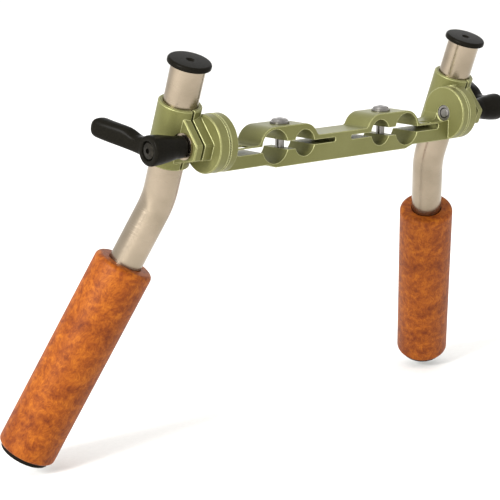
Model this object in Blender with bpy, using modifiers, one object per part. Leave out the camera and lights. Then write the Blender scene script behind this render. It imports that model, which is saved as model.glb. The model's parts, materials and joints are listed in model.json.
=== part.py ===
"""Two-handled camera hand-grip bracket for 15 mm and 19 mm support rods.

World frame: +X to the right-hand handle, +Y away from the operator, +Z up.
The origin is midway between the rod axes, at half the depth of the bar.
Each handle is built in a frame of its own, on an empty at its rosette:
X along the stud, Y to the back, Z up the straight part of the tube.
"""

from math import atan2, cos, degrees, pi, radians, sin, sqrt, tan

import bmesh
import bpy
from mathutils import Matrix, Vector

MM = 0.001
GAP = 0.3  # clearance between pieces that touch, in mm

# Crossbar, in mm
BAR_DEPTH = 20.0
BAR_BOTTOM = -11.7
ARM_BOTTOM = -9.7
MIDDLE_TOP = 3.5
ARM_TOP = 1.9
ARCH_R = 10.8
LARGE_ROD_X, LARGE_ROD_R = 52.0, 9.5
SMALL_ROD_X, SMALL_ROD_R = 30.0, 7.5
BOLT_X = 40.0
SLIT_INNER_X, SLIT_OUTER_X = 6.0, 80.0
INNER_SLIT = (-1.7, 0.9)  # bottom and top
OUTER_SLIT = (-2.6, 0.8)
WEB_RELIEF_X, WEB_RELIEF_TOP = (36.0, 44.5), 2.2
INNER_FOOT, OUTER_FOOT, DISC_FOOT = 2.5, 3.0, 6.0  # fillet radii where an arch or a disc meets the bar
ARM_TAPER = 0.15
HAUNCH_START_X, HAUNCH_END_X = 57.5, 51.5  # where the bar's underside deepens
EDGE_BEVEL = 0.6

# Clamp bolt and nut
BOLT_HOLE_R = 2.8
NUT_R, NUT_HEIGHT, NUT_DEPTH = 4.62, 3.8, 4.6

# Rosette and stud
ROSETTE_X, ROSETTE_Y, ROSETTE_Z = 94.0, -6.0, 5.8
ROSETTE_R = 15.9
ROSETTE_GAP = 0.25
BAR_DISC = 5.5
STUD_R = 3.0
INSERT_R = 4.6
CHANNEL_R = 5.6
DISC_BEVEL = 0.5
HANDLE_TILT = 20.0

# Collar, in the handle's frame
COLLAR_DISC = 6.8
TUBE_X, TUBE_Y = 13.5, 16.2
COLLAR_R, COLLAR_HALF = 12.0, 17.5
EAR_FACE = 18.6
EAR_FRONT, EAR_FLAT, EAR_BACK = 9.5, 4.4, 9.0
SLIT_X, SLIT_WIDTH = 13.5, 1.6
SPOT_FACE_R = 7.6

# Tube, grip and caps
TUBE_R, TUBE_WALL = 9.5, 2.0
BORE_R = TUBE_R + GAP
TUBE_TOP, BEND_Z = 38.8, -41.0
BEND_R, BEND_ANGLE = 45.0, 20.0
GRIP_R, GRIP_START, GRIP_LENGTH = 17.0, 40.0, 124.0
CAP_R, CAP_RIM_R, CAP_THICK = 12.0, 1.4, 2.9
CAP_SCREW_R = 1.6

# Clamping lever, in the handle's frame
WASHER_R, WASHER_THICK = 7.2, 1.0
HUB_START, HUB_END = 20.3, 43.0
HUB_SMALL_R, HUB_LARGE_R = 6.0, 8.2
LEVER_REACH, LEVER_TIP_X = 37.0, 50.5
LEVER_ANGLE = -4.0
ARM_START_X, ARM_ROOT_R, ARM_TIP_R = 36.0, 6.6, 5.4
SCREW_SEAT_R, SCREW_SEAT_DEPTH = 5.2, 2.2
SCREW_R = 1.9
HUB_BORE_R, HUB_BORE_END = 4.6, HUB_START + 14.0

FAR = 60.0  # well past any piece, for cutters that go right through


def clear_scene():
    for item in list(bpy.data.objects):
        bpy.data.objects.remove(item)


def new_collection(name):
    made = bpy.data.collections.new(name)
    bpy.context.scene.collection.children.link(made)
    return made


def material(name, color, metallic, roughness):
    made = bpy.data.materials.new(name)
    made.use_nodes = True
    shader = made.node_tree.nodes["Principled BSDF"]
    shader.inputs["Base Color"].default_value = (*color, 1.0)
    shader.inputs["Metallic"].default_value = metallic
    shader.inputs["Roughness"].default_value = roughness
    return made


def add_object(name, data, collection, parent=None, look=None):
    made = bpy.data.objects.new(name, data)
    collection.objects.link(made)
    made.parent = parent
    if look:
        data.materials.append(look)
    return made


def add_mesh(name, shape, collection, parent=None, look=None):
    """An object from a bmesh made in millimetres; round faces are shaded smooth."""
    bmesh.ops.scale(shape, vec=Vector((MM, MM, MM)), verts=shape.verts)
    data = bpy.data.meshes.new(name)
    shape.to_mesh(data)
    shape.free()
    data.shade_smooth()
    data.set_sharp_from_angle(angle=radians(35))
    return add_object(name, data, collection, parent, look)


def hide_cutter(item):
    item.hide_render = True
    item.display_type = "WIRE"
    return item


def cylinder(name, radius, span, axis, place, collection, parent=None, look=None, sides=64, end_radius=None):
    """A cylinder or cone along "X", "Y" or "Z" over a span; place is its axis in the other two directions."""
    start, end = span
    shape = bmesh.new()
    far = radius if end_radius is None else end_radius
    bmesh.ops.create_cone(shape, cap_ends=True, segments=sides, radius1=radius, radius2=far, depth=end - start)
    turn = {"X": Matrix.Rotation(pi / 2, 4, "Y"), "Y": Matrix.Rotation(-pi / 2, 4, "X"), "Z": Matrix()}[axis]
    middle = (start + end) / 2
    centre = {
        "X": (middle, place[0], place[1]),
        "Y": (place[0], middle, place[1]),
        "Z": (place[0], place[1], middle),
    }[axis]
    bmesh.ops.transform(shape, matrix=Matrix.Translation(centre) @ turn, verts=shape.verts)
    return add_mesh(name, shape, collection, parent, look)


def along_x(name, side, radius, span, place, collection, parent=None, look=None, sides=64, end_radius=None):
    """A cylinder over a span outward from the bar, on the left (side -1) or the right (side 1)."""
    far = radius if end_radius is None else end_radius
    if side > 0:
        return cylinder(name, radius, span, "X", place, collection, parent, look, sides, far)
    return cylinder(name, far, (-span[1], -span[0]), "X", place, collection, parent, look, sides, radius)


def block(name, low, high, collection, parent=None, look=None):
    shape = bmesh.new()
    bmesh.ops.create_cube(shape, size=1.0)
    size = [max(a, b) - min(a, b) for a, b in zip(low, high)]
    middle = [(a + b) / 2 for a, b in zip(low, high)]
    bmesh.ops.scale(shape, vec=Vector(size), verts=shape.verts)
    bmesh.ops.translate(shape, vec=Vector(middle), verts=shape.verts)
    return add_mesh(name, shape, collection, parent, look)


def boolean(target, cutter, operation="DIFFERENCE"):
    step = target.modifiers.new(cutter.name, "BOOLEAN")
    step.operation = operation
    step.object = cutter
    step.solver = "EXACT"
    return step


def soften(target, width, angle=40.0, segments=1):
    step = target.modifiers.new("soft_edges", "BEVEL")
    step.width = width * MM
    step.segments = segments
    step.limit_method = "ANGLE"
    step.angle_limit = radians(angle)
    return step


def arc(centre, radius, start, end, steps):
    """Points of an arc, angles in degrees."""
    angles = [radians(start + (end - start) * i / steps) for i in range(steps + 1)]
    return [(centre[0] + radius * cos(a), centre[1] + radius * sin(a)) for a in angles]


def realised(item, flat_caps=False):
    """The item's evaluated shape as a mesh object that can be cut, in the item's place."""
    graph = bpy.context.evaluated_depsgraph_get()
    graph.update()
    data = bpy.data.meshes.new_from_object(item.evaluated_get(graph))
    shape = bmesh.new()
    shape.from_mesh(data)
    bmesh.ops.remove_doubles(shape, verts=shape.verts, dist=1e-6)
    bmesh.ops.recalc_face_normals(shape, faces=shape.faces)
    if flat_caps:
        bmesh.ops.dissolve_limit(shape, angle_limit=radians(0.5), verts=shape.verts, edges=shape.edges)
    shape.to_mesh(data)
    shape.free()
    made = bpy.data.objects.new(item.name, data)
    item.users_collection[0].objects.link(made)
    made.parent = item.parent
    made.matrix_world = item.matrix_world.copy()
    name = item.name
    bpy.data.objects.remove(item)
    made.name = name
    return made


def plate(name, points, low, high, collection, parent=None, look=None, plane="XZ"):
    """A flat outline extruded from low to high across its plane, "XZ" or "YZ"."""
    curve = bpy.data.curves.new(name, "CURVE")
    curve.dimensions = "2D"
    curve.fill_mode = "BOTH"
    curve.extrude = (high - low) / 2 * MM
    line = curve.splines.new("POLY")
    line.points.add(len(points) - 1)
    for point, (across, up) in zip(line.points, points):
        point.co = (across * MM, up * MM, 0.0, 1.0)
    line.use_cyclic_u = True
    item = add_object(name, curve, collection, parent, look)
    middle = (high + low) / 2 * MM
    if plane == "XZ":
        item.rotation_euler = (pi / 2, 0.0, 0.0)
        item.location = (0.0, middle, 0.0)
    else:
        item.rotation_euler = (pi / 2, 0.0, pi / 2)
        item.location = (middle, 0.0, 0.0)
    bpy.context.view_layer.update()
    made = realised(item, flat_caps=True)
    made.data.shade_smooth()
    made.data.set_sharp_from_angle(angle=radians(35))
    return made


def turned(name, profile, collection, parent=None, look=None, steps=24, closed=False):
    """A profile of (radius, height) points turned about Z, from its top down its outer side."""
    shape = bmesh.new()
    ring = [shape.verts.new((radius * MM, 0.0, height * MM)) for radius, height in profile]
    for a, b in zip(ring, ring[1:]):
        shape.edges.new((a, b))
    if closed:
        shape.edges.new((ring[-1], ring[0]))
    data = bpy.data.meshes.new(name)
    shape.to_mesh(data)
    shape.free()
    item = add_object(name, data, collection, parent, look)
    spin = item.modifiers.new("turning", "SCREW")
    spin.steps = steps
    spin.render_steps = steps
    spin.use_merge_vertices = True
    spin.merge_threshold = 1e-5
    spin.use_smooth_shade = True
    return item


def bar_outline():
    """The right half of the bar seen from the front, from the top at x = 0 round to the bottom at x = 0."""
    rise = MIDDLE_TOP + INNER_FOOT
    reach = sqrt((ARCH_R + INNER_FOOT) ** 2 - rise**2)
    foot = degrees(atan2(rise, -reach))
    points = arc((SMALL_ROD_X - reach, rise), INNER_FOOT, -90, foot - 180, 5)
    points += arc((SMALL_ROD_X, 0.0), ARCH_R, foot, 90, 12)[1:]
    rise = ARM_TOP + OUTER_FOOT
    reach = sqrt((ARCH_R + OUTER_FOOT) ** 2 - rise**2)
    foot = degrees(atan2(rise, reach))
    points += arc((LARGE_ROD_X, 0.0), ARCH_R, 90, foot, 14)
    points += arc((LARGE_ROD_X + reach, rise), OUTER_FOOT, foot + 180, 270, 6)[1:]
    # The fillet and the arm's end are sunk into the disc, so that the union has no faces that only touch.
    inner_face = ROSETTE_X - BAR_DISC
    fillet_x = inner_face + 0.5 - DISC_FOOT
    points += arc((fillet_x, ARM_TOP - ARM_TAPER + DISC_FOOT), DISC_FOOT, -90, 0, 8)
    points += [(inner_face + 1.0, ARM_TOP + DISC_FOOT), (inner_face + 1.0, ARM_BOTTOM - ARM_TAPER)]
    points += [(HAUNCH_START_X, ARM_BOTTOM), (HAUNCH_END_X, BAR_BOTTOM)]
    return points


def slot_outline(near, far, low, high, side):
    """A slot from near to far whose end at far is round."""
    radius = (high - low) / 2
    middle = (high + low) / 2
    outward = 1 if far > near else -1
    ends = arc((far - outward * radius, middle), radius, -90, 90, 8)
    if outward < 0:
        ends = [(2 * (far - outward * radius) - x, z) for x, z in ends]
    return [(side * x, z) for x, z in [(near, high), (near, low)] + ends]


def make_crossbar(parts, cutters, look):
    half = bar_outline()
    outline = half + [(-x, z) for x, z in reversed(half)]
    bar = plate("crossbar", outline, -BAR_DEPTH / 2, BAR_DEPTH / 2, parts, None, look)
    soften(bar, EDGE_BEVEL, 50)
    spot = (ROSETTE_Y, ROSETTE_Z)
    through = (-FAR, FAR)
    inner_face = ROSETTE_X - BAR_DISC
    disc_span = (inner_face, ROSETTE_X - ROSETTE_GAP)
    for side, word in ((-1, "left"), (1, "right")):
        disc = along_x(f"{word}_bar_disc", side, ROSETTE_R, disc_span, spot, cutters, sides=56)
        soften(hide_cutter(disc), DISC_BEVEL)
        boolean(bar, disc, "UNION")
        large, small = (side * LARGE_ROD_X, 0.0), (side * SMALL_ROD_X, 0.0)
        outer_slot = slot_outline(BOLT_X, SLIT_OUTER_X, *OUTER_SLIT, side)
        inner_slot = slot_outline(SMALL_ROD_X, SLIT_INNER_X, *INNER_SLIT, side)
        web = [side * x for x in WEB_RELIEF_X]
        web_low, web_high = (web[0], -FAR, OUTER_SLIT[0]), (web[1], FAR, WEB_RELIEF_TOP)
        bolt = (side * BOLT_X, 0.0)
        pocket_span = (-FAR, BAR_BOTTOM + NUT_DEPTH)
        cuts = (
            cylinder(f"{word}_large_groove", LARGE_ROD_R, through, "Y", large, cutters, sides=44),
            cylinder(f"{word}_small_groove", SMALL_ROD_R, through, "Y", small, cutters, sides=44),
            plate(f"{word}_outer_slot", outer_slot, *through, cutters),
            plate(f"{word}_inner_slot", inner_slot, *through, cutters),
            block(f"{word}_web_relief", web_low, web_high, cutters),
            cylinder(f"{word}_bolt_hole", BOLT_HOLE_R, through, "Z", bolt, cutters, sides=24),
            cylinder(f"{word}_nut_pocket", NUT_R + GAP, pocket_span, "Z", bolt, cutters, sides=6),
            along_x(f"{word}_insert_bore", side, INSERT_R + GAP, (80, 96), spot, cutters, sides=32),
            along_x(f"{word}_channel", side, CHANNEL_R, (70, inner_face), spot, cutters, sides=24),
        )
        for cut in cuts:
            boolean(bar, hide_cutter(cut))
    return bar


def make_clamp_bolt(side, word, parts, cutters, look):
    """A flanged button-head screw with a hexagon socket, its origin on its own axis at the seat."""
    seat = ARCH_R + 0.15
    profile = [(0.0, 2.75), (3.2, 2.75), (4.3, 2.3), (4.9, 1.3), (5.5, 1.1), (5.5, 0.0)]
    profile += [(2.5, 0.0), (2.5, -21.5), (2.0, -22.0), (0.0, -22.0)]
    bolt = turned(f"{word}_clamp_bolt", profile, parts, None, look, 28)
    bolt.location = Vector((side * BOLT_X, 0.0, seat)) * MM
    socket = cylinder(f"{word}_bolt_socket", 1.75, (0.9, 4.0), "Z", (0, 0), cutters, bolt, sides=6)
    boolean(bolt, hide_cutter(socket))
    return bolt


def make_clamp_nut(side, word, parts, cutters, look):
    place = (side * BOLT_X, 0.0)
    low = BAR_BOTTOM + 0.4
    nut = cylinder(f"{word}_clamp_nut", NUT_R, (low, low + NUT_HEIGHT), "Z", place, parts, None, look, sides=6)
    hole = cylinder(f"{word}_nut_thread", BOLT_HOLE_R, (-FAR, 0), "Z", place, cutters, sides=24)
    boolean(nut, hide_cutter(hole))
    return nut


def make_insert(side, word, parts, cutters, look):
    """The threaded bush in the bar's rosette disc."""
    spot = (ROSETTE_Y, ROSETTE_Z)
    span = (ROSETTE_X - BAR_DISC + GAP, ROSETTE_X - 0.6)
    bush = along_x(f"{word}_thread_insert", side, INSERT_R, span, spot, parts, None, look, 40)
    hole = along_x(f"{word}_insert_thread", side, STUD_R + GAP, (80, 100), spot, cutters, sides=24)
    boolean(bush, hide_cutter(hole))
    return bush


def ear_outline():
    """The side of the clamp ears: a flat front, widening to almost the full height of the collar."""
    top = COLLAR_HALF - 2.0
    return [(EAR_BACK, top), (-EAR_FRONT, EAR_FLAT), (-EAR_FRONT, -EAR_FLAT), (EAR_BACK, -top)]


def make_collar(side, word, pivot, parts, cutters, look):
    """The rosette disc, the clamp ears and the split ring round the tube, in one casting."""
    axis = (side * TUBE_X, TUBE_Y)
    stud = (0, 0)
    height = (-COLLAR_HALF, COLLAR_HALF)
    ring = cylinder(f"{word}_collar", COLLAR_R, height, "Z", axis, parts, pivot, look, 48)
    soften(ring, EDGE_BEVEL)
    disc_span = (ROSETTE_GAP, COLLAR_DISC)
    disc = along_x(f"{word}_collar_disc", side, ROSETTE_R, disc_span, stud, cutters, pivot, sides=56)
    soften(hide_cutter(disc), DISC_BEVEL)
    boolean(ring, disc, "UNION")
    near, far = sorted((side * (COLLAR_DISC - 1.0), side * EAR_FACE))
    ears = plate(f"{word}_ears", ear_outline(), near, far, cutters, pivot, plane="YZ")
    soften(hide_cutter(ears), EDGE_BEVEL, 50)
    boolean(ring, ears, "UNION")
    slit_low = (side * (SLIT_X - SLIT_WIDTH / 2), -FAR, -FAR)
    slit_high = (side * (SLIT_X + SLIT_WIDTH / 2), TUBE_Y, FAR)
    cuts = (
        cylinder(f"{word}_tube_bore", BORE_R, (-FAR, FAR), "Z", axis, cutters, pivot, sides=32),
        along_x(f"{word}_spot_face", side, SPOT_FACE_R, (EAR_FACE, FAR), stud, cutters, pivot, sides=36),
        along_x(f"{word}_stud_bore", side, STUD_R + GAP, (-5, FAR), stud, cutters, pivot, sides=24),
        block(f"{word}_slit", slit_low, slit_high, cutters, pivot),
    )
    for cut in cuts:
        boolean(ring, hide_cutter(cut))
    return ring


def leg_direction(side):
    bend = radians(BEND_ANGLE)
    return Vector((side * sin(bend), 0.0, -cos(bend)))


def make_tube(side, word, pivot, parts, look):
    """A bent tube, open at both ends, swept along its centre line."""
    bend = radians(BEND_ANGLE)
    tangent = BEND_R * tan(bend / 2)
    steps = 7
    points = [Vector((0.0, 0.0, TUBE_TOP))]
    for i in range(steps + 1):
        turn = bend * i / steps
        outward = BEND_R * (1 - cos(turn))
        points.append(Vector((side * outward, 0.0, BEND_Z + tangent - BEND_R * sin(turn))))
    points.append(Vector((0.0, 0.0, BEND_Z)) + leg_direction(side) * (GRIP_START + GRIP_LENGTH - 2.0))
    curve = bpy.data.curves.new(f"{word}_tube", "CURVE")
    curve.dimensions = "3D"
    curve.bevel_depth = (TUBE_R - TUBE_WALL / 2) * MM
    curve.bevel_resolution = 6
    curve.use_fill_caps = False
    line = curve.splines.new("POLY")
    line.points.add(len(points) - 1)
    for spot, point in zip(line.points, points):
        spot.co = (*(point * MM), 1.0)
    item = add_object(f"{word}_tube", curve, parts, pivot, look)
    item.location = Vector((side * TUBE_X, TUBE_Y, 0.0)) * MM
    bpy.context.view_layer.update()
    tube = realised(item)
    tube.data.shade_smooth()
    wall = tube.modifiers.new("wall", "SOLIDIFY")
    wall.thickness = TUBE_WALL * MM
    wall.offset = 0.0
    return tube


def make_top_cap(side, word, pivot, parts, look):
    """A moulded cap: a flange with a round rim and a dimple, on a plug inside the tube."""
    base = TUBE_TOP + GAP
    top = base + CAP_THICK
    plug = TUBE_R - TUBE_WALL - GAP
    profile = [(0.0, top - 0.7), (2.0, top - 0.6), (2.8, top)]
    profile += arc((CAP_R - CAP_RIM_R, top - CAP_RIM_R), CAP_RIM_R, 90, 0, 5)
    profile += [(CAP_R, base + 0.5), (CAP_R - 0.5, base), (plug, base), (plug, base - 9.0), (0.0, base - 9.0)]
    cap = turned(f"{word}_top_cap", profile, parts, pivot, look)
    cap.location = Vector((side * TUBE_X, TUBE_Y, 0.0)) * MM
    return cap


def place_on_leg(item, side, distance):
    """Stands an item with its Z axis up the lower leg, this far below the bend."""
    corner = Vector((side * TUBE_X, TUBE_Y, BEND_Z))
    item.location = (corner + leg_direction(side) * distance) * MM
    item.rotation_euler = (0.0, -side * radians(BEND_ANGLE), 0.0)


def make_grip(side, word, pivot, parts, look):
    """A turned wooden sleeve with round shoulders, its origin at its upper end."""
    inner = TUBE_R + GAP
    top = arc((GRIP_R - 3.0, -3.0), 3.0, 90, 0, 4)
    bottom = arc((GRIP_R - 2.0, -GRIP_LENGTH + 2.0), 2.0, 0, -90, 3)
    profile = [(inner, 0.0)] + top + bottom + [(inner, -GRIP_LENGTH)]
    grip = turned(f"{word}_grip", profile, parts, pivot, look, 32, closed=True)
    place_on_leg(grip, side, GRIP_START)
    return grip


def make_bottom_cap(side, word, pivot, parts, cutters, look):
    outer = GRIP_R - 2.4
    plug = TUBE_R - TUBE_WALL - GAP
    rim = arc((outer - 1.2, -GAP - 1.4), 1.2, 0, -90, 4)
    profile = [(0.0, 16.0), (plug, 16.0), (plug, -GAP), (outer, -GAP)] + rim + [(0.0, -GAP - 2.6)]
    cap = turned(f"{word}_bottom_cap", profile, parts, pivot, look)
    place_on_leg(cap, side, GRIP_START + GRIP_LENGTH)
    hole = cylinder(f"{word}_cap_hole", 3.9, (-FAR, -1.6), "Z", (0, 0), cutters, cap, sides=32)
    pilot = cylinder(f"{word}_cap_pilot", CAP_SCREW_R + GAP, (-FAR, 10), "Z", (0, 0), cutters, cap, sides=24)
    boolean(cap, hide_cutter(hole))
    boolean(cap, hide_cutter(pilot))
    return cap


def make_cap_screw(side, word, pivot, parts, cutters, look):
    profile = [(0.0, 8.0), (CAP_SCREW_R, 8.0), (CAP_SCREW_R, -1.9), (3.5, -1.9), (3.5, -2.9)]
    profile += [(2.6, -3.4), (0.0, -3.5)]
    screw = turned(f"{word}_cap_screw", profile, parts, pivot, look, 20)
    place_on_leg(screw, side, GRIP_START + GRIP_LENGTH)
    socket = cylinder(f"{word}_cap_socket", 1.25, (-6, -2.3), "Z", (0, 0), cutters, screw, sides=6)
    boolean(screw, hide_cutter(socket))
    return screw


def make_lever_arm(side, word, lever_pivot, cutters):
    """A round arm that leaves the hub's outer end, leans outward and closes like a dome at its tip."""
    steps = 12
    curve = bpy.data.curves.new(f"{word}_lever_arm", "CURVE")
    curve.dimensions = "3D"
    curve.bevel_depth = MM
    curve.bevel_resolution = 3
    curve.use_fill_caps = True
    line = curve.splines.new("POLY")
    line.points.add(steps)
    for i, spot in enumerate(line.points):
        # The spacing tightens towards the tip, where the radius closes.
        share = sin(pi / 2 * i / steps)
        ease = share * share * (3 - 2 * share)
        x = ARM_START_X + (LEVER_TIP_X - ARM_START_X) * (0.35 * share + 0.65 * ease)
        dome = max(0.0, (share * LEVER_REACH - (LEVER_REACH - ARM_TIP_R)) / ARM_TIP_R)
        radius = (ARM_ROOT_R + (ARM_TIP_R - ARM_ROOT_R) * share) * sqrt(max(0.06, 1 - dome * dome))
        spot.co = (side * x * MM, share * (LEVER_REACH + 3.0) * MM, 0.0, 1.0)
        spot.radius = radius
    item = add_object(f"{word}_lever_arm", curve, cutters, lever_pivot)
    bpy.context.view_layer.update()
    return realised(item)


def make_lever(side, word, lever_pivot, parts, cutters, look):
    """The hub is a cone along the stud, hollow for the stud's head and for its own screw."""
    stud = (0, 0)
    hub_span = (HUB_START + 1.0, HUB_END)
    hub = along_x(
        f"{word}_lever", side, HUB_SMALL_R, hub_span, stud, parts, lever_pivot, look, 36, HUB_LARGE_R
    )
    soften(hub, 1.0, 40)
    arm = make_lever_arm(side, word, lever_pivot, cutters)
    boolean(hub, hide_cutter(arm), "UNION")
    seat_span = (HUB_END - SCREW_SEAT_DEPTH, FAR)
    cuts = (
        along_x(f"{word}_hub_bore", side, HUB_BORE_R, (0, HUB_BORE_END), stud, cutters, lever_pivot, sides=24),
        along_x(f"{word}_screw_seat", side, SCREW_SEAT_R, seat_span, stud, cutters, lever_pivot, sides=32),
        along_x(f"{word}_screw_hole", side, SCREW_R + GAP, (20, FAR), stud, cutters, lever_pivot, sides=24),
    )
    for cut in cuts:
        boolean(hub, hide_cutter(cut))
    return hub


def make_stud(side, word, lever_pivot, parts, look):
    """The M6 stud, from the bar's insert to the splined head inside the lever's hub."""
    end = 0.2 - BAR_DISC
    head = HUB_START - GAP + 0.1
    profile = [(0.0, 31.0), (3.9, 31.0), (4.2, 30.6), (4.2, head), (STUD_R, head)]
    profile += [(STUD_R, end + 0.5), (STUD_R - 0.5, end), (0.0, end)]
    stud = turned(f"{word}_stud", profile, parts, lever_pivot, look, 20)
    stud.rotation_euler = (0.0, side * pi / 2, 0.0)
    return stud


def make_washer(side, word, lever_pivot, parts, cutters, look):
    start = EAR_FACE + 0.2
    span = (start, start + WASHER_THICK)
    ring = along_x(f"{word}_washer", side, WASHER_R, span, (0, 0), parts, lever_pivot, look, 32)
    hole = along_x(f"{word}_washer_hole", side, STUD_R + GAP, (0, FAR), (0, 0), cutters, lever_pivot, sides=24)
    boolean(ring, hide_cutter(hole))
    return ring


def make_lever_screw(side, word, lever_pivot, parts, cutters, look):
    """The screw in the end of the hub that keeps the lever on its stud."""
    seat = HUB_END - SCREW_SEAT_DEPTH + GAP
    tip = HUB_START + 16.0
    profile = [(0.0, seat + 1.7), (2.6, seat + 1.7), (4.3, seat + 1.2), (4.8, seat + 0.5), (4.8, seat)]
    profile += [(SCREW_R, seat), (SCREW_R, tip), (0.0, tip)]
    screw = turned(f"{word}_lever_screw", profile, parts, lever_pivot, look, 20)
    screw.rotation_euler = (0.0, side * pi / 2, 0.0)
    socket = cylinder(f"{word}_screw_socket", 1.6, (seat + 0.5, seat + 4), "Z", (0, 0), cutters, screw, sides=6)
    boolean(screw, hide_cutter(socket))
    return screw


def make_handle(side, word, parts, cutters, looks):
    pivot = bpy.data.objects.new(f"{word}_pivot", None)
    parts.objects.link(pivot)
    pivot.location = Vector((side * ROSETTE_X, ROSETTE_Y, ROSETTE_Z)) * MM
    pivot.rotation_euler = (radians(HANDLE_TILT), 0.0, 0.0)
    lever_pivot = bpy.data.objects.new(f"{word}_lever_pivot", None)
    parts.objects.link(lever_pivot)
    lever_pivot.parent = pivot
    lever_pivot.rotation_euler = (radians(LEVER_ANGLE), 0.0, 0.0)
    bpy.context.view_layer.update()
    make_collar(side, word, pivot, parts, cutters, looks["alloy"])
    make_tube(side, word, pivot, parts, looks["tube"])
    make_top_cap(side, word, pivot, parts, looks["plastic"])
    make_grip(side, word, pivot, parts, looks["wood"])
    make_bottom_cap(side, word, pivot, parts, cutters, looks["plastic"])
    make_cap_screw(side, word, pivot, parts, cutters, looks["steel"])
    make_stud(side, word, lever_pivot, parts, looks["steel"])
    make_washer(side, word, lever_pivot, parts, cutters, looks["steel"])
    make_lever(side, word, lever_pivot, parts, cutters, looks["plastic"])
    make_lever_screw(side, word, lever_pivot, parts, cutters, looks["steel"])


def main():
    clear_scene()
    parts = new_collection("hand_grip_bracket")
    cutters = new_collection("cutters")
    looks = {
        "alloy": material("olive_alloy", (0.38, 0.38, 0.16), 0.6, 0.45),
        "tube": material("satin_tube", (0.48, 0.39, 0.31), 1.0, 0.35),
        "wood": material("burl_wood", (0.55, 0.15, 0.02), 0.0, 0.5),
        "plastic": material("black_plastic", (0.016, 0.015, 0.012), 0.0, 0.5),
        "steel": material("bolt_steel", (0.33, 0.31, 0.33), 1.0, 0.35),
    }
    make_crossbar(parts, cutters, looks["alloy"])
    for side, word in ((-1, "left"), (1, "right")):
        make_clamp_bolt(side, word, parts, cutters, looks["steel"])
        make_clamp_nut(side, word, parts, cutters, looks["steel"])
        make_insert(side, word, parts, cutters, looks["steel"])
        make_handle(side, word, parts, cutters, looks)


main()
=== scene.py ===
"""Looks for a two-handled rod grip bracket, laid out as an add-on and run as a script."""

import json
from math import atan2, cos, exp, pi, radians, sin, sqrt, tan

import bmesh
import bpy
from bpy.props import FloatProperty, FloatVectorProperty, IntProperty, PointerProperty
from mathutils import Matrix, Vector


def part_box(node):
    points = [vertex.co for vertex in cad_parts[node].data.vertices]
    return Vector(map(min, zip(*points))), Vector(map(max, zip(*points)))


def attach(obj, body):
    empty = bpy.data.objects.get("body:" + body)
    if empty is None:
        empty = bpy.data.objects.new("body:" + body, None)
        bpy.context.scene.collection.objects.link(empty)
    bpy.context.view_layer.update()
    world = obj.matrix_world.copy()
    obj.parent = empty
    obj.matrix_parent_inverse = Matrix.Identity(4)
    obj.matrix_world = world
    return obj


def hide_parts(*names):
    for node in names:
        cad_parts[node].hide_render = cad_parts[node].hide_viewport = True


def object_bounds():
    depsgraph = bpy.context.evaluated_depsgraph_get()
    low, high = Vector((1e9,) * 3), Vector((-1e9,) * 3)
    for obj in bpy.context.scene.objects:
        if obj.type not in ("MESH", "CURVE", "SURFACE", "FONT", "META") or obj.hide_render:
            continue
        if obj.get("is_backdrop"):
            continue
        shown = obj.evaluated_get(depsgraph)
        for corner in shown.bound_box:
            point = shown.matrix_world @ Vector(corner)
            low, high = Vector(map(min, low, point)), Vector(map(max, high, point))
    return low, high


bl_info = {
    "name": "Rod grip bracket",
    "version": (1, 0, 0),
    "blender": (4, 5, 0),
    "location": "View3D > Sidebar > Bracket",
    "description": "Builds the finishes and fine parts of a two-handled rod grip bracket",
    "category": "Add Mesh",
}

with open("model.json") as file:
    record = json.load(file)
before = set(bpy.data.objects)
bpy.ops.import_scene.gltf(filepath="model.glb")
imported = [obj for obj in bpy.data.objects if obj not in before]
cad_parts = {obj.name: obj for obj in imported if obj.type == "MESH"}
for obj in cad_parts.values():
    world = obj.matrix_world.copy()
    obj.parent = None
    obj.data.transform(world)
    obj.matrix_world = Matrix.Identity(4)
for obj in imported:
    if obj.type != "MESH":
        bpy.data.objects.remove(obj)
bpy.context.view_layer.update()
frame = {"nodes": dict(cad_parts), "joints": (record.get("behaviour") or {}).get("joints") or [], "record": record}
MM = 0.001
JOINTS = {joint["name"]: joint for joint in frame["joints"]}
SIDES = ((-1, "left"), (1, "right"))


# Lever sizes along and across the stud, in millimetres
HUB_START, HUB_END = 20.1, 43.0
HUB_SMALL_R, HUB_LARGE_R = 6.0, 8.2
HUB_BORE_R, HUB_BORE_END = 4.6, 34.3
SCREW_SEAT_R, SCREW_SEAT_DEPTH, SCREW_HOLE_R = 5.2, 2.2, 2.2
ARM_ROOT_X, ARM_ROOT_Y = 38.2, 4.8
LEVER_ANGLE = -4.0  # degrees about the stud
STEP_Y, STEP_LENGTH, STEP_SHARE = 12.0, 4.5, 0.42  # the step in the arm's upper edge

# Rosette teeth, in millimetres from the joint's own plane or axis
TEETH_CREST, TEETH_OUTER, TEETH_INNER, TEETH_VALLEY = 0.04, 16.0, 9.0, 0.15

BORE_GAP = 0.3  # between the tube and what surrounds or plugs it


# ---------------------------------------------------------------- settings


def linear(hex_colour):
    """An sRGB hex colour as linear RGBA."""
    parts = [int(hex_colour[i : i + 2], 16) / 255 for i in (1, 3, 5)]
    return (*[p / 12.92 if p <= 0.04045 else ((p + 0.055) / 1.055) ** 2.4 for p in parts], 1.0)


def length(name, description, millimetres):
    """A property for a length, shown in the scene's own unit."""
    metres = millimetres * MM
    return FloatProperty(name=name, description=description, default=metres, subtype="DISTANCE", unit="LENGTH")


def tint(name, description, hex_colour):
    """A property for a colour."""
    rgba = linear(hex_colour)
    return FloatVectorProperty(name=name, description=description, default=rgba, size=4, subtype="COLOR")


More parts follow.
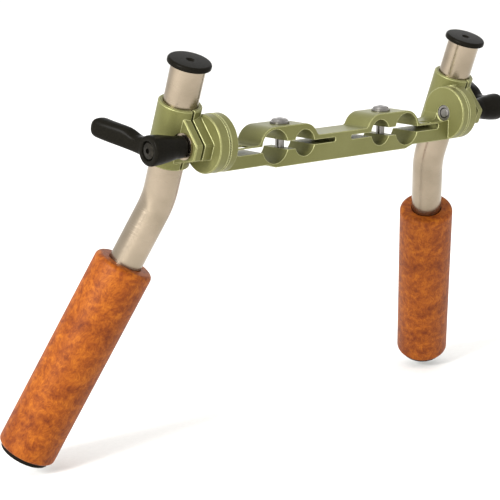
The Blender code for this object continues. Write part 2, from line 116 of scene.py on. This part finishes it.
class BracketSizes(bpy.types.PropertyGroup):
    """Sizes of the fine parts."""

    bend_below: length("Bend below stud", "From the stud down to the tube's bend", 41.0)
    bend_radius: length("Bend radius", "On the tube's centre line", 45.0)
    bend_angle: FloatProperty(
        name="Bend angle",
        description="Of the lower leg, outward",
        default=radians(20.0),
        subtype="ANGLE",
        unit="ROTATION",
    )
    tube_radius: length("Tube radius", "Outside", 9.5)
    tube_top: length("Tube top", "Above the stud", 38.8)
    grip_start: length("Grip start", "From the bend, down the leg", 40.0)
    grip_length: length("Grip length", "Along the leg", 124.0)
    grip_radius: length("Grip radius", "Of the wood", 17.0)
    cap_radius: length("Cap radius", "Of the flange on the tube's top", 12.0)
    tooth_height: length("Tooth height", "Of the rosette teeth, at the rim", 1.0)
    tooth_count: IntProperty(name="Rosette teeth", description="Round each face", default=72)
    lever_reach: length("Lever reach", "From the stud to the tip", 38.5)


class BracketColours(bpy.types.PropertyGroup):
    """Colours of the finishes."""

    alloy: tint("Alloy", "Olive anodised aluminium", "#747348")
    alloy_dark: tint("Alloy shade", "Where the dye lies thicker", "#68673B")
    # This edge colour is partly wear and partly a painted highlight along the alloy's edges.
    edge_wear_and_highlight: tint("Worn edge", "Thin dye on the alloy's edges", "#D9D8A0")
    nickel: tint("Nickel", "Satin nickel on the tubes", "#A39583")
    wood_light: tint("Wood light", "Open grain of the burl", "#A25B14")
    wood_mid: tint("Wood middle", "Body of the burl", "#8C480D")
    wood_dark: tint("Wood dark", "Eyes and late wood", "#5A2806")
    plastic: tint("Plastic", "Black moulded nylon", "#0E0D0A")
    steel: tint("Steel", "Zinc-plated screws", "#908D89")
    floor: tint("Floor", "Studio paper", "#F4F3F0")


def size(name):
    """A length from the settings, in millimetres."""
    return getattr(bpy.context.scene.bracket_sizes, name) / MM


def colours():
    return bpy.context.scene.bracket_colours


# ---------------------------------------------------------------- helpers


RAMP = "ShaderNodeValToRGB"
BLEND = {"data_type": "RGBA"}
MULTIPLY = {"data_type": "RGBA", "blend_type": "MULTIPLY"}


def add_node(tree, kind, inputs=None, stops=(), **settings):
    """Adds a node with its settings; inputs are values or the sockets that feed them, stops a ramp's colours."""
    node = tree.nodes.new(kind)
    for name, value in settings.items():
        setattr(node, name, value)
    for socket, value in (inputs or {}).items():
        if isinstance(value, bpy.types.NodeSocket):
            tree.links.new(value, node.inputs[socket])
        else:
            node.inputs[socket].default_value = value
    if stops:
        elements = node.color_ramp.elements
        while len(elements) < len(stops):
            elements.new(0.5)
        for element, (position, colour) in zip(elements, stops):
            element.position = position
            element.color = colour
    return node


def new_material(name, metallic, roughness):
    made = bpy.data.materials.new(name)
    made.use_nodes = True
    shader = made.node_tree.nodes["Principled BSDF"]
    shader.inputs["Metallic"].default_value = metallic
    shader.inputs["Roughness"].default_value = roughness
    return made, made.node_tree, shader


def per_metre(millimetres):
    """The texture scale whose features repeat about every so many millimetres."""
    return 1000.0 / millimetres


# ---------------------------------------------------------------- materials


def anodised_aluminium():
    """Bead-blasted aluminium, anodised olive: a fine even grain under a satin skin, with a paler colour on the edges
    that is partly wear and partly a painted highlight.
    """
    # Typical values are metallic 1.0 and specular level 0.5. Both are set lower here.
    made, tree, shader = new_material("aluminium_bead_blasted_olive_anodised", 0.5, 0.38)
    shader.inputs["Specular IOR Level"].default_value = 0.2
    place = add_node(tree, "ShaderNodeTexCoord").outputs["Object"]
    cloud = add_node(tree, "ShaderNodeTexNoise", {"Vector": place, "Scale": per_metre(35), "Detail": 4.0})
    dye = add_node(tree, RAMP, {"Fac": cloud.outputs["Fac"]}, [(0.3, colours().alloy_dark), (0.7, colours().alloy)])
    # Blasting grit is about 0.1 mm; it is drawn at 0.5 mm so that it still shows.
    grit = add_node(tree, "ShaderNodeTexNoise", {"Vector": place, "Scale": per_metre(0.5), "Detail": 2.0})
    stops = [(0.35, (0.86, 0.86, 0.86, 1)), (0.65, (1.06, 1.06, 1.06, 1))]
    speckle = add_node(tree, RAMP, {"Fac": grit.outputs["Fac"]}, stops)
    inputs = {0: 1.0, 6: dye.outputs["Color"], 7: speckle.outputs["Color"]}
    base = add_node(tree, "ShaderNodeMix", inputs, **MULTIPLY).outputs[2]
    # Handling polishes the edges, about 0.7 mm wide, and the dye wears thin there. The paler colour mixed in along
    # them is partly that wear and partly a painted highlight.
    rounded = add_node(tree, "ShaderNodeBevel", {"Radius": 0.7 * MM}, samples=6)
    true_normal = add_node(tree, "ShaderNodeNewGeometry").outputs["Normal"]
    flatness = add_node(
        tree, "ShaderNodeVectorMath", {0: rounded.outputs["Normal"], 1: true_normal}, operation="DOT_PRODUCT"
    )
    stops = [(0.85, (0.75, 0.75, 0.75, 1)), (0.985, (0, 0, 0, 1))]
    edge_wear_and_highlight_mask = add_node(tree, RAMP, {"Fac": flatness.outputs["Value"]}, stops)
    inputs = {0: edge_wear_and_highlight_mask.outputs["Color"], 6: base, 7: colours().edge_wear_and_highlight}
    base = add_node(tree, "ShaderNodeMix", inputs, **BLEND).outputs[2]
    tree.links.new(base, shader.inputs["Base Color"])
    satin = add_node(tree, "ShaderNodeMapRange", {"Value": grit.outputs["Fac"], "To Min": 0.38, "To Max": 0.5})
    tree.links.new(satin.outputs["Result"], shader.inputs["Roughness"])
    inputs = {"Height": grit.outputs["Fac"], "Strength": 0.12, "Distance": 0.2 * MM}
    inputs["Normal"] = rounded.outputs["Normal"]
    bump = add_node(tree, "ShaderNodeBump", inputs)
    tree.links.new(bump.outputs["Normal"], shader.inputs["Normal"])
    return made


def satin_nickel():
    """Nickel-plated tube, polished round its axis: fine hoops that stretch a highlight along the tube."""
    made, tree, shader = new_material("brass_tube_satin_nickel_plated", 1.0, 0.3)
    place = add_node(tree, "ShaderNodeTexCoord").outputs["Object"]
    # Abrasive hoops are about 0.05 mm apart; they are drawn at 0.4 mm so that they still show.
    hoops = add_node(tree, "ShaderNodeMapping", {"Vector": place, "Scale": (60.0, 60.0, per_metre(0.4))})
    lines = add_node(tree, "ShaderNodeTexNoise", {"Vector": hoops.outputs["Vector"], "Scale": 1.0, "Detail": 3.0})
    haze = add_node(tree, "ShaderNodeTexNoise", {"Vector": place, "Scale": per_metre(20), "Detail": 3.0})
    tone = add_node(tree, RAMP, {"Fac": haze.outputs["Fac"]}, [(0.3, linear("#8F8371")), (0.7, colours().nickel)])
    tree.links.new(tone.outputs["Color"], shader.inputs["Base Color"])
    satin = add_node(tree, "ShaderNodeMapRange", {"Value": lines.outputs["Fac"], "To Min": 0.18, "To Max": 0.32})
    tree.links.new(satin.outputs["Result"], shader.inputs["Roughness"])
    bump = add_node(tree, "ShaderNodeBump", {"Height": lines.outputs["Fac"], "Strength": 0.08, "Distance": 0.2 * MM})
    tree.links.new(bump.outputs["Normal"], shader.inputs["Normal"])
    return made


def burl_wood():
    """Turned and oiled burl: swirling grain, small dark eyes in clusters, and bands of darker wood across it."""
    made, tree, shader = new_material("thuya_burl_turned_oiled", 0.0, 0.42)
    shader.inputs["Specular IOR Level"].default_value = 0.15
    place = add_node(tree, "ShaderNodeTexCoord").outputs["Object"]
    # The swirl bends the grain over about 18 mm.
    swirl = add_node(tree, "ShaderNodeTexNoise", {"Vector": place, "Scale": per_metre(18), "Detail": 3.0})
    inputs = {0: swirl.outputs["Color"], 1: (0.5, 0.5, 0.5)}
    centred = add_node(tree, "ShaderNodeVectorMath", inputs, operation="SUBTRACT")
    inputs = {0: centred.outputs["Vector"], 1: (0.014, 0.014, 0.014)}
    pushed = add_node(tree, "ShaderNodeVectorMath", inputs, operation="MULTIPLY")
    inputs = {0: place, 1: pushed.outputs["Vector"]}
    bent = add_node(tree, "ShaderNodeVectorMath", inputs, operation="ADD").outputs["Vector"]
    inputs = {"Vector": bent, "Scale": per_metre(5), "Detail": 8.0, "Roughness": 0.75}
    figure = add_node(tree, "ShaderNodeTexNoise", inputs)
    stops = [
        (0.28, colours().wood_dark),
        (0.42, linear("#783809")),
        (0.52, colours().wood_mid),
        (0.66, colours().wood_light),
        (0.82, linear("#AC6A24")),
    ]
    body = add_node(tree, RAMP, {"Fac": figure.outputs["Fac"]}, stops)
    # Grain flecks run along the grip, about 0.7 mm apart and 3 mm long.
    fleck = (per_metre(0.7), per_metre(0.7), per_metre(3))
    along = add_node(tree, "ShaderNodeMapping", {"Vector": bent, "Scale": fleck})
    grain = add_node(tree, "ShaderNodeTexNoise", {"Vector": along.outputs["Vector"], "Scale": 1.0, "Detail": 4.0})
    stops = [(0.32, (0.7, 0.6, 0.48, 1)), (0.55, (1.0, 1.0, 1.0, 1))]
    fibre = add_node(tree, RAMP, {"Fac": grain.outputs["Fac"]}, stops)
    inputs = {0: 0.95, 6: body.outputs["Color"], 7: fibre.outputs["Color"]}
    wood = add_node(tree, "ShaderNodeMix", inputs, **MULTIPLY).outputs[2]
    # Eyes are 1 to 2 mm across and stand in clusters a few centimetres wide.
    eyes = add_node(tree, "ShaderNodeTexVoronoi", {"Vector": bent, "Scale": per_metre(4.6), "Randomness": 1.0})
    dots = add_node(tree, RAMP, {"Fac": eyes.outputs["Distance"]}, [(0.1, (1, 1, 1, 1)), (0.24, (0, 0, 0, 1))])
    cluster = add_node(tree, "ShaderNodeTexNoise", {"Vector": place, "Scale": per_metre(26), "Detail": 2.0})
    where = add_node(tree, RAMP, {"Fac": cluster.outputs["Fac"]}, [(0.42, (0, 0, 0, 1)), (0.6, (1, 1, 1, 1))])
    spots = add_node(
        tree, "ShaderNodeMath", {0: dots.outputs["Color"], 1: where.outputs["Color"]}, operation="MULTIPLY"
    )
    shade = add_node(tree, "ShaderNodeMath", {0: spots.outputs["Value"], 1: 0.7}, operation="MULTIPLY")
    inputs = {0: shade.outputs["Value"], 6: wood, 7: linear("#6B2E0C")}
    wood = add_node(tree, "ShaderNodeMix", inputs, **BLEND).outputs[2]
    # Dark bands cross the grip every few centimetres.
    across = add_node(tree, "ShaderNodeMapping", {"Vector": bent, "Scale": (18.0, 18.0, per_metre(16))})
    band = add_node(tree, "ShaderNodeTexNoise", {"Vector": across.outputs["Vector"], "Scale": 1.0, "Detail": 5.0})
    dark = add_node(tree, RAMP, {"Fac": band.outputs["Fac"]}, [(0.36, (0.62, 0.5, 0.38, 1)), (0.5, (1, 1, 1, 1))])
    inputs = {0: 0.6, 6: wood, 7: dark.outputs["Color"]}
    wood = add_node(tree, "ShaderNodeMix", inputs, **MULTIPLY).outputs[2]
    tree.links.new(wood, shader.inputs["Base Color"])
    oil = add_node(tree, "ShaderNodeMapRange", {"Value": grain.outputs["Fac"], "To Min": 0.6, "To Max": 0.45})
    tree.links.new(oil.outputs["Result"], shader.inputs["Roughness"])
    pores = add_node(tree, "ShaderNodeBump", {"Height": grain.outputs["Fac"], "Strength": 0.2, "Distance": 0.3 * MM})
    tree.links.new(pores.outputs["Normal"], shader.inputs["Normal"])
    return made


def moulded_nylon():
    """Glass-filled nylon from a spark-eroded mould: a dull even stipple with a soft sheen."""
    made, tree, shader = new_material("nylon_moulded_black", 0.0, 0.42)
    # Nylon's own index is about 1.53. This one is set far lower.
    shader.inputs["IOR"].default_value = 1.14
    shader.inputs["Specular IOR Level"].default_value = 0.25
    place = add_node(tree, "ShaderNodeTexCoord").outputs["Object"]
    # The mould's stipple is about 0.15 mm; it is drawn at 0.5 mm so that it still shows.
    stipple = add_node(tree, "ShaderNodeTexNoise", {"Vector": place, "Scale": per_metre(0.5), "Detail": 2.0})
    stops = [(0.3, colours().plastic), (0.75, linear("#191712"))]
    tone = add_node(tree, RAMP, {"Fac": stipple.outputs["Fac"]}, stops)
    tree.links.new(tone.outputs["Color"], shader.inputs["Base Color"])
    sheen = add_node(tree, "ShaderNodeMapRange", {"Value": stipple.outputs["Fac"], "To Min": 0.26, "To Max": 0.38})
    tree.links.new(sheen.outputs["Result"], shader.inputs["Roughness"])
    bump = add_node(tree, "ShaderNodeBump", {"Height": stipple.outputs["Fac"], "Strength": 0.18, "Distance": 0.2 * MM})
    tree.links.new(bump.outputs["Normal"], shader.inputs["Normal"])
    return made


def plated_steel():
    """Zinc-plated steel screws: cool grey with a faint cloud from the bath and the marks of turning."""
    made, tree, shader = new_material("steel_turned_zinc_plated", 1.0, 0.33)
    place = add_node(tree, "ShaderNodeTexCoord").outputs["Object"]
    bath = add_node(tree, "ShaderNodeTexNoise", {"Vector": place, "Scale": per_metre(4), "Detail": 3.0})
    tone = add_node(tree, RAMP, {"Fac": bath.outputs["Fac"]}, [(0.3, linear("#787572")), (0.7, colours().steel)])
    tree.links.new(tone.outputs["Color"], shader.inputs["Base Color"])
    marks = add_node(tree, "ShaderNodeTexNoise", {"Vector": place, "Scale": per_metre(0.4), "Detail": 2.0})
    satin = add_node(tree, "ShaderNodeMapRange", {"Value": marks.outputs["Fac"], "To Min": 0.26, "To Max": 0.42})
    tree.links.new(satin.outputs["Result"], shader.inputs["Roughness"])
    return made


def black_steel():
    """Black-oxide steel in the levers' ends: almost as dark as the plastic, with a faint oily sheen."""
    made, tree, shader = new_material("steel_turned_black_oxide", 1.0, 0.45)
    place = add_node(tree, "ShaderNodeTexCoord").outputs["Object"]
    bath = add_node(tree, "ShaderNodeTexNoise", {"Vector": place, "Scale": per_metre(1.5), "Detail": 3.0})
    tone = add_node(tree, RAMP, {"Fac": bath.outputs["Fac"]}, [(0.3, linear("#24221E")), (0.7, linear("#35322C"))])
    tree.links.new(tone.outputs["Color"], shader.inputs["Base Color"])
    return made


def studio_paper():
    """Seamless paper: matt, almost white, with no pattern that could draw the eye."""
    made, tree, shader = new_material("paper_seamless_white", 0.0, 0.9)
    place = add_node(tree, "ShaderNodeTexCoord").outputs["Object"]
    fibre = add_node(tree, "ShaderNodeTexNoise", {"Vector": place, "Scale": per_metre(3), "Detail": 2.0})
    tone = add_node(tree, RAMP, {"Fac": fibre.outputs["Fac"]}, [(0.3, linear("#F0EFEC")), (0.7, colours().floor)])
    tree.links.new(tone.outputs["Color"], shader.inputs["Base Color"])
    return made


FINISHES = {
    "alloy": anodised_aluminium,
    "tube": satin_nickel,
    "wood": burl_wood,
    "plastic": moulded_nylon,
    "steel": plated_steel,
    "black": black_steel,
}
made_finishes = {}


def finish_for(slot):
    """The slot's material, made once."""
    if slot not in made_finishes:
        made_finishes[slot] = FINISHES[slot]()
    return made_finishes[slot]


# ---------------------------------------------------------------- shapes


def handle_frame(word):
    """X outward along the stud, Y to the back, Z up the straight part of the tube."""
    origin = Vector(JOINTS[f"{word}_tilt"]["pos_m"])
    axis = JOINTS[f"{word}_tube_turn"]["axis"]
    tilt = atan2(-axis[1], axis[2])
    return Matrix.Translation(origin) @ Matrix.Rotation(tilt, 4, "X")


def tube_frame(word):
    """The handle's frame moved onto the tube's axis, level with the stud."""
    there = handle_frame(word)
    there.translation = Vector(JOINTS[f"{word}_tube_turn"]["pos_m"])
    return there


def leg_frame(side, word, distance):
    """Z up the lower leg, with its origin this many millimetres below the bend."""
    bend = bpy.context.scene.bracket_sizes.bend_angle
    offset = Vector((side * sin(bend), 0.0, -cos(bend))) * distance - Vector((0, 0, size("bend_below")))
    return tube_frame(word) @ Matrix.Translation(offset * MM) @ Matrix.Rotation(-side * bend, 4, "Y")


def add_piece(name, mesh, place, body, slot, *nodes):
    """A smooth piece that rides on a body, in its slot's finish, in place of any CAD nodes named."""
    mesh.shade_smooth()
    mesh.set_sharp_from_angle(angle=radians(38))
    mesh.materials.append(finish_for(slot))
    piece = bpy.data.objects.new(name, mesh)
    bpy.context.scene.collection.objects.link(piece)
    piece.matrix_world = place
    bpy.context.view_layer.update()
    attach(piece, body)
    if nodes:
        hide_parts(*nodes)
    return piece


def arc(centre, radius, start, end, steps=8):
    """Points of an arc, angles in degrees."""
    angles = [radians(start + (end - start) * i / steps) for i in range(steps + 1)]
    return [(centre[0] + radius * cos(a), centre[1] + radius * sin(a)) for a in angles]


def lathe(shape, profile, steps=96):
    """Turns a line of (radius, height) points, in millimetres, about Z into the bmesh."""
    rings = []
    for radius, height in profile:
        if radius < 1e-6:
            rings.append([shape.verts.new((0, 0, height * MM))])
            continue
        angles = [2 * pi * i / steps for i in range(steps)]
        rings.append([shape.verts.new((radius * cos(a) * MM, radius * sin(a) * MM, height * MM)) for a in angles])
    for upper, lower in zip(rings, rings[1:]):
        for i in range(steps):
            j = (i + 1) % steps
            corners = [upper[i % len(upper)], lower[i % len(lower)], lower[j % len(lower)], upper[j % len(upper)]]
            unique = list(dict.fromkeys(corners))
            if len(unique) > 2:
                shape.faces.new(unique)


def skin(shape, rings):
    """Joins rings of vertices one to the next, with a face across each end."""
    count = len(rings[0])
    for first, second in zip(rings, rings[1:]):
        for i in range(count):
            j = (i + 1) % count
            shape.faces.new((first[i], first[j], second[j], second[i]))
    shape.faces.new(rings[0])
    shape.faces.new(rings[-1])


def finished_mesh(name, shape):
    """The bmesh as a mesh, with doubled vertices merged and its faces turned outward."""
    bmesh.ops.remove_doubles(shape, verts=shape.verts, dist=1e-7)
    bmesh.ops.recalc_face_normals(shape, faces=shape.faces)
    mesh = bpy.data.meshes.new(name)
    shape.to_mesh(mesh)
    shape.free()
    return mesh


def turned_mesh(name, profile):
    shape = bmesh.new()
    lathe(shape, profile)
    return finished_mesh(name, shape)


def grip_mesh(name):
    """A wooden sleeve with round shoulders, from its upper end down."""
    radius, long = size("grip_radius"), size("grip_length")
    inner = size("tube_radius") + BORE_GAP
    top = arc((radius - 3.0, -3.0), 3.0, 90, 0)
    bottom = arc((radius - 2.0, 2.0 - long), 2.0, 0, -90)
    profile = [(inner, -1.0), (inner, 0.0)] + top + bottom + [(inner, -long), (inner, 1.0 - long), (inner, -1.0)]
    return turned_mesh(name, profile)


def tube_mesh(name, side):
    """The bent tube, as rings along its centre line."""
    bend, radius = bpy.context.scene.bracket_sizes.bend_angle, size("tube_radius")
    bend_r, bend_z = size("bend_radius"), -size("bend_below")
    tangent = bend_r * tan(bend / 2)
    bend_steps, count = 24, 80
    stations = [(0.0, size("tube_top") - 0.5 * i, 0.0) for i in range(2)]
    for i in range(bend_steps + 1):
        turn = bend * i / bend_steps
        stations.append((bend_r * (1 - cos(turn)), bend_z + tangent - bend_r * sin(turn), turn))
    end = size("grip_start") + size("grip_length") - 2.0
    stations.append((end * sin(bend), bend_z - end * cos(bend), bend))
    shape = bmesh.new()
    rings = []
    for outward, height, turn in stations:
        ring = []
        for i in range(count):
            a = 2 * pi * i / count
            across, back = radius * cos(a), radius * sin(a)
            x = outward + across * cos(turn)
            ring.append(shape.verts.new((side * x * MM, back * MM, (height + across * sin(turn)) * MM)))
        rings.append(ring)
    skin(shape, rings)
    return finished_mesh(name, shape)


def top_cap_mesh(name):
    """A flange with a round rim and a dimple where the mould was filled, on a plug inside the tube."""
    base, radius = size("tube_top") + BORE_GAP, size("cap_radius")
    plug = size("tube_radius") - 2.0 - BORE_GAP
    profile = [(0.0, base + 2.0), (1.5, base + 2.0), (2.4, base + 2.9)]
    profile += arc((radius - 1.4, base + 1.5), 1.4, 90, 0) + arc((radius - 0.5, base + 0.5), 0.5, 0, -90, 4)
    profile += [(plug, base), (plug, base - 9.0), (0.0, base - 9.0)]
    return turned_mesh(name, profile)


def add_hub(shape, side):
    """The lever's hub: a cone along the stud, hollow for the stud's head and for its own screw."""
    seat = HUB_END - SCREW_SEAT_DEPTH
    profile = [(HUB_BORE_R, HUB_START), (HUB_SMALL_R - 0.6, HUB_START), (HUB_SMALL_R, HUB_START + 0.6)]
    profile += [(6.2, 26.0), (7.0, 30.0), (7.9, 36.0), (HUB_LARGE_R, 40.0)]
    profile += arc((HUB_LARGE_R - 1.4, HUB_END - 1.4), 1.4, 0, 90, 5)
    profile += [(SCREW_SEAT_R, HUB_END), (SCREW_SEAT_R, seat), (SCREW_HOLE_R, seat), (SCREW_HOLE_R, HUB_BORE_END)]
    profile += [(HUB_BORE_R, HUB_BORE_END), (HUB_BORE_R, HUB_START)]
    lathe(shape, profile, 56)
    # The hub is turned about Z; this lays it along the stud.
    bmesh.ops.transform(shape, matrix=Matrix.Rotation(side * pi / 2, 4, "Y"), verts=shape.verts)


def add_arm(shape, side, tip_x):
    """The lever's arm: squarish rings that lean outward and close like a dome at the tip."""
    reach = size("lever_reach")
    steps, count, dome_length = 26, 32, 5.0
    rings = []
    for i in range(steps + 1):
        share = sin(pi / 2 * i / steps)
        ease = share * share * (3 - 2 * share)
        x = ARM_ROOT_X + (tip_x - ARM_ROOT_X) * (0.3 * share + 0.7 * ease)
        y = ARM_ROOT_Y + (reach - ARM_ROOT_Y) * share
        dome = max(0.0, (y - (reach - dome_length)) / dome_length)
        close = sqrt(max(0.02, 1 - dome * dome))
        # A step in the upper edge sets the paddle off from the hub.
        neck = 1 - STEP_SHARE * exp(-(((y - STEP_Y) / STEP_LENGTH) ** 2))
        half_x = (4.4 + 0.9 * ease) * close
        half_z = (6.0 - 0.5 * share) * close
        ring = []
        for k in range(count):
            # A squircle: flatter faces and round corners, as a moulded lever has.
            c, s = cos(2 * pi * k / count), sin(2 * pi * k / count)
            across = half_x * (abs(c) ** 0.75) * (1 if c >= 0 else -1)
            up = half_z * (abs(s) ** 0.75) * (neck if s >= 0 else -1)
            ring.append(shape.verts.new((side * (x + across) * MM, y * MM, up * MM)))
        rings.append(ring)
    skin(shape, rings)


def lever_mesh(name, side, word):
    """Hub and arm as overlapping closed shells, for a remesh to blend like one moulding."""
    lowest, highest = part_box(f"{word}_lever")
    outer = max(abs(lowest.x), abs(highest.x)) / MM
    stud = abs(JOINTS[f"{word}_tilt"]["pos_m"][0]) / MM
    shape = bmesh.new()
    add_hub(shape, side)
    add_arm(shape, side, outer - stud - 5.4)
    return finished_mesh(name, shape)


def teeth_mesh(name, way, offset):
    """A ring of radial teeth about X whose crests almost reach the joint's plane from one side of it."""
    count = bpy.context.scene.bracket_sizes.tooth_count
    crest = way * TEETH_CREST
    face = way * (size("tooth_height") + TEETH_CREST)
    shape = bmesh.new()
    rows = []
    for i in range(2 * count):
        a = pi * (i + offset) / count
        top = crest if i % 2 == 0 else face + (crest - face) * TEETH_VALLEY
        inner_top = face + (top - face) * TEETH_INNER / TEETH_OUTER
        spots = ((TEETH_INNER, face), (TEETH_OUTER, face), (TEETH_OUTER, top), (TEETH_INNER, inner_top))
        rows.append([shape.verts.new((x * MM, radius * cos(a) * MM, radius * sin(a) * MM)) for radius, x in spots])
    for i in range(2 * count):
        here, after = rows[i], rows[(i + 1) % (2 * count)]
        for k in range(4):
            shape.faces.new((here[k], here[(k + 1) % 4], after[(k + 1) % 4], after[k]))
    return finished_mesh(name, shape)


# ---------------------------------------------------------------- operators


def dress(kinds, finish=None):
    """Gives the frame's nodes of these kinds their finish, with smooth shading that keeps their edges crisp."""
    slots = {part["node"]: part["material_slot"] for part in frame["record"]["subparts"]}
    for name, node in frame["nodes"].items():
        if not name.endswith(kinds):
            continue
        node.data.materials.clear()
        node.data.materials.append(finish_for(finish or slots[name]))
        if "custom_normal" in node.data.attributes:
            node.data.attributes.remove(node.data.attributes["custom_normal"])
        node.data.shade_smooth()
        weld = node.modifiers.new("weld", "WELD")
        weld.merge_threshold = 1e-6
        split = node.modifiers.new("crisp_edges", "EDGE_SPLIT")
        split.split_angle = radians(21)


class BRACKET_OT_bar(bpy.types.Operator):
    """Anodises the crossbar and the two collars"""

    bl_idname = "bracket.bar"
    bl_label = "Crossbar and collars"

    def execute(self, context):
        dress(("crossbar", "_collar"))
        return {"FINISHED"}


class BRACKET_OT_screws(bpy.types.Operator):
    """Plates the clamp bolts, nuts, threaded bushes, studs and cap screws"""

    bl_idname = "bracket.screws"
    bl_label = "Bolts, nuts and studs"

    def execute(self, context):
        dress(("_clamp_bolt", "_clamp_nut", "_thread_insert", "_stud", "_cap_screw"))
        return {"FINISHED"}


class BRACKET_OT_washers(bpy.types.Operator):
    """Plates the washers under the levers"""

    bl_idname = "bracket.washers"
    bl_label = "Washers"

    def execute(self, context):
        dress(("_washer",), "tube")
        return {"FINISHED"}


class BRACKET_OT_grips(bpy.types.Operator):
    """Turns the two wooden grips"""

    bl_idname = "bracket.grips"
    bl_label = "Wooden grips"

    def execute(self, context):
        dress(("_grip",))
        for side, word in SIDES:
            place = leg_frame(side, word, size("grip_start"))
            add_piece(f"{word}_wood", grip_mesh(f"{word}_wood"), place, f"{word}_handle", "wood", f"{word}_grip")
        return {"FINISHED"}


class BRACKET_OT_tubes(bpy.types.Operator):
    """Sweeps the two bent tubes"""

    bl_idname = "bracket.tubes"
    bl_label = "Bent tubes"

    def execute(self, context):
        dress(("_tube",))
        for side, word in SIDES:
            name = f"{word}_nickel_tube"
            place = tube_frame(word)
            add_piece(name, tube_mesh(name, side), place, f"{word}_handle", "tube", f"{word}_tube")
        return {"FINISHED"}


class BRACKET_OT_caps(bpy.types.Operator):
    """Moulds the caps on the ends of the tubes"""

    bl_idname = "bracket.caps"
    bl_label = "Tube caps"

    def execute(self, context):
        dress(("_top_cap", "_bottom_cap"))
        for side, word in SIDES:
            name = f"{word}_moulded_cap"
            place = tube_frame(word)
            add_piece(name, top_cap_mesh(name), place, f"{word}_post", "plastic", f"{word}_top_cap")
        return {"FINISHED"}


class BRACKET_OT_levers(bpy.types.Operator):
    """Moulds the clamping levers, blending hub and arm"""

    bl_idname = "bracket.levers"
    bl_label = "Clamping levers"

    def execute(self, context):
        dress(("_lever",))
        dress(("_lever_screw",), "black")
        for side, word in SIDES:
            name = f"{word}_moulded_lever"
            place = handle_frame(word) @ Matrix.Rotation(radians(LEVER_ANGLE), 4, "X")
            mesh = lever_mesh(name, side, word)
            piece = add_piece(name, mesh, place, f"{word}_lever_body", "plastic", f"{word}_lever")
            blend = piece.modifiers.new("moulding", "REMESH")
            blend.mode = "VOXEL"
            blend.voxel_size = 0.4 * MM
            blend.use_smooth_shade = True
            relax = piece.modifiers.new("relax", "SMOOTH")
            relax.iterations = 6
        return {"FINISHED"}


class BRACKET_OT_teeth(bpy.types.Operator):
    """Cuts the rosette teeth on both faces of each joint"""

    bl_idname = "bracket.teeth"
    bl_label = "Rosette teeth"

    def execute(self, context):
        for side, word in SIDES:
            bar_place = Matrix.Translation(Vector(JOINTS[f"{word}_tilt"]["pos_m"]))
            name = f"{word}_bar_teeth"
            add_piece(name, teeth_mesh(name, -side, 0), bar_place, "bar", "alloy")
            name = f"{word}_collar_teeth"
            add_piece(name, teeth_mesh(name, side, 1), handle_frame(word), f"{word}_clamp", "alloy")
        return {"FINISHED"}


class BRACKET_OT_stage(bpy.types.Operator):
    """Lays the floor and sets the lights, the world and the camera"""

    bl_idname = "bracket.stage"
    bl_label = "Studio"

    def execute(self, context):
        scene = context.scene
        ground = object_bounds()[0][2]
        shape = bmesh.new()
        bmesh.ops.create_grid(shape, x_segments=1, y_segments=1, size=40.0)
        mesh = bpy.data.meshes.new("studio_floor")
        shape.to_mesh(mesh)
        shape.free()
        mesh.materials.append(studio_paper())
        floor = bpy.data.objects.new("studio_floor", mesh)
        scene.collection.objects.link(floor)
        floor.location.z = ground - 0.002
        floor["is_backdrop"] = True
        lights = (
            ("key", (-3.2, -0.6, 1.5), 1.0, 190.0),
            ("fill", (1.5, -1.5, 0.6), 1.2, 2.5),
            ("back", (1.2, 1.4, 0.5), 1.2, 3.5),
        )
        for name, spot, size, power in lights:
            data = bpy.data.lights.new(name, "AREA")
            data.size = size
            data.energy = power
            light = bpy.data.objects.new(name, data)
            scene.collection.objects.link(light)
            light.location = spot
            light.rotation_euler = (-Vector(spot)).to_track_quat("-Z", "Y").to_euler()
        world = bpy.data.worlds.new("studio")
        world.use_nodes = True
        world.node_tree.nodes["Background"].inputs["Color"].default_value = (1.0, 1.0, 1.0, 1.0)
        world.node_tree.nodes["Background"].inputs["Strength"].default_value = 1.12
        scene.world = world
        scene.view_settings.view_transform = "Standard"
        lens = bpy.data.cameras.new("studio_camera")
        lens.lens = 112.67
        camera = bpy.data.objects.new("studio_camera", lens)
        scene.collection.objects.link(camera)
        camera.location = (-0.6195, -0.6402, 0.1316)
        camera.rotation_euler = (radians(77.4), 0.0, radians(-41.06))
        scene.camera = camera
        return {"FINISHED"}


class BRACKET_PT_panel(bpy.types.Panel):
    """Lists the pieces of the bracket"""

    bl_label = "Rod grip bracket"
    bl_space_type = "VIEW_3D"
    bl_region_type = "UI"
    bl_category = "Bracket"

    def draw(self, context):
        for operator in OPERATORS:
            self.layout.operator(operator.bl_idname)


OPERATORS = (
    BRACKET_OT_bar,
    BRACKET_OT_screws,
    BRACKET_OT_washers,
    BRACKET_OT_grips,
    BRACKET_OT_tubes,
    BRACKET_OT_caps,
    BRACKET_OT_levers,
    BRACKET_OT_teeth,
    BRACKET_OT_stage,
)
CLASSES = (BracketSizes, BracketColours, *OPERATORS, BRACKET_PT_panel)


def register():
    for cls in CLASSES:
        bpy.utils.register_class(cls)
    bpy.types.Scene.bracket_sizes = PointerProperty(type=BracketSizes)
    bpy.types.Scene.bracket_colours = PointerProperty(type=BracketColours)


def unregister():
    del bpy.types.Scene.bracket_colours
    del bpy.types.Scene.bracket_sizes
    for cls in reversed(CLASSES):
        bpy.utils.unregister_class(cls)


def main():
    register()
    bpy.ops.bracket.bar()
    bpy.ops.bracket.screws()
    bpy.ops.bracket.washers()
    bpy.ops.bracket.grips()
    bpy.ops.bracket.tubes()
    bpy.ops.bracket.caps()
    bpy.ops.bracket.levers()
    bpy.ops.bracket.teeth()
    bpy.ops.bracket.stage()


if __name__ == "__main__":
    main()
